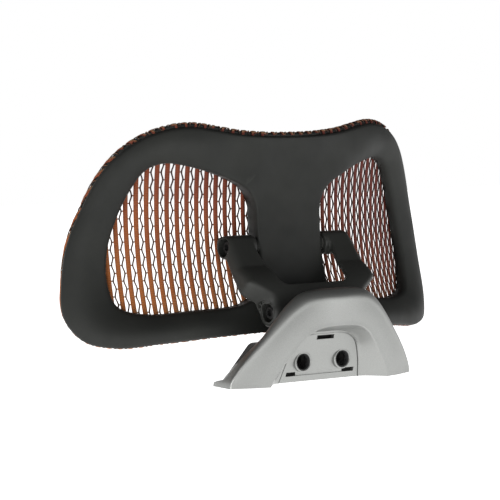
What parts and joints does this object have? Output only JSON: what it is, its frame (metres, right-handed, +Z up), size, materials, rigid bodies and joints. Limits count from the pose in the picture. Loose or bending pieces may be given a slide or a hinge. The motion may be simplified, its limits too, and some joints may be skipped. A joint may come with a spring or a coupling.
{
  "type": "office chair headrest attachment",
  "caption": "Mesh headrest for an office chair: a curved frame with stretched fabric on a tilting U-shaped arm and an arched mounting bracket.",
  "frame": {"origin": "on the bracket's flat seating face, at chair-screw height, on the centre plane", "axes": "+Y out of the seating face towards the sitter's head, +Z up, +X to the right seen from behind the chair"},
  "size_m": [0.346, 0.1273, 0.1947],
  "materials": {
    "silver": "silver-grey satin paint",
    "core": "black moulded",
    "black": "charcoal, soft satin",
    "spline": "matt",
    "fabric": "rust-brown open mesh",
    "screw": "blackened",
    "bushing": "dark acetal"
  },
  "bodies": {
    "bracket": {"bracket_hood": "silver", "bracket_core": "core", "hood_screw_left": "screw", "hood_screw_right": "screw", "lower_friction_washer_left": "bushing", "lower_friction_washer_right": "bushing", "lower_bush_left": "bushing", "lower_bush_right": "bushing"},
    "arm": {"arm": "black", "upper_hinge_screw": "screw", "upper_hinge_nut": "screw", "upper_disc_spring": "screw", "upper_washer_left": "screw", "upper_washer_right": "screw", "lower_hinge_screw": "screw", "lower_hinge_nut": "screw", "lower_disc_spring": "screw", "lower_washer_left": "screw", "lower_washer_right": "screw"},
    "pad": {"rear_frame": "black", "mesh_carrier": "black", "mesh_spline": "spline", "mesh_fabric": "fabric", "upper_friction_washer_left": "bushing", "upper_friction_washer_right": "bushing", "upper_bush_left": "bushing", "upper_bush_right": "bushing"}
  },
  "joints": [
    {"name": "arm_tilt", "type": "hinge", "parent": "bracket", "child": "arm", "pos_m": [0, -0.023, 0.0375], "axis": [1, 0, 0], "range_deg": [-4, 35]},
    {"name": "pad_tilt", "type": "hinge", "parent": "arm", "child": "pad", "pos_m": [0, 0.014, 0.0845], "axis": [1, 0, 0], "range_deg": [-4, 25]}
  ]
}
